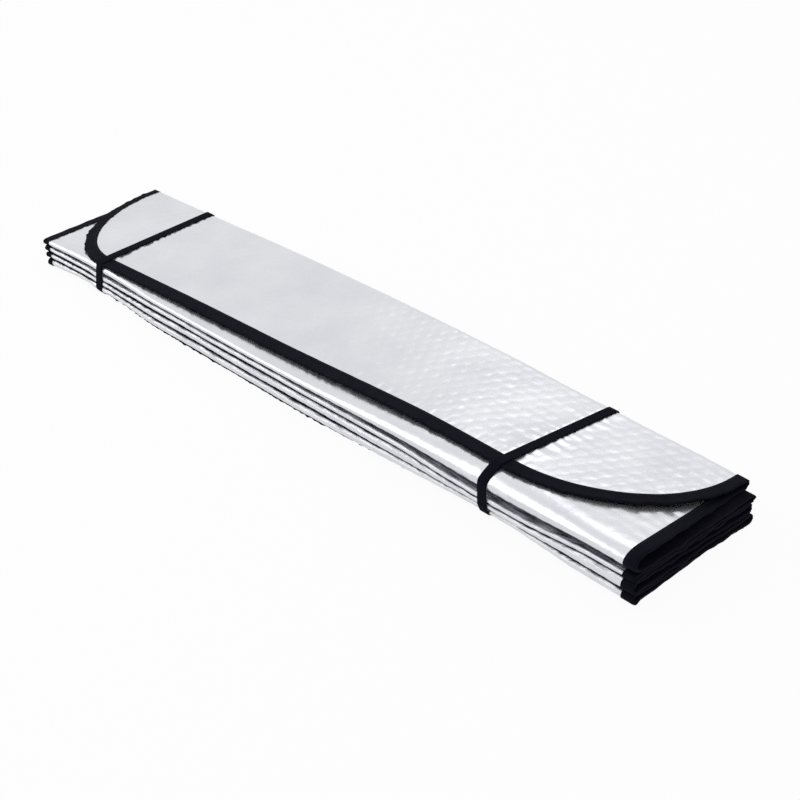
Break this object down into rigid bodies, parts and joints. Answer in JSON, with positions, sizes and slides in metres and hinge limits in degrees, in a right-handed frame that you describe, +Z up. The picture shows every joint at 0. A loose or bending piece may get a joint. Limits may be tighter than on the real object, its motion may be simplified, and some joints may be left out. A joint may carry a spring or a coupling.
{
  "type": "folding windshield sun shade",
  "caption": "Reflective windshield sun shade folded up in a concertina, with a black taped rim and elastic bands drawn round the pack.",
  "frame": {"origin": "under the middle of the folded pack, on the surface that it lies on", "axes": "+X along the fold lines, towards the end with the wide corners; +Y towards the side where the top panel is folded; +Z up"},
  "size_m": [0.8014, 0.1566, 0.0507],
  "materials": {
    "foil": "metallised bubble film, satin, dimpled",
    "tape": "matt black woven tape",
    "elastic": "matt black woven elastic"
  },
  "bodies": {
    "root": {"foil_sheet": "foil", "edge_binding": "tape", "elastic_band_left": "elastic", "elastic_band_right": "elastic"}
  },
  "joints": []
}
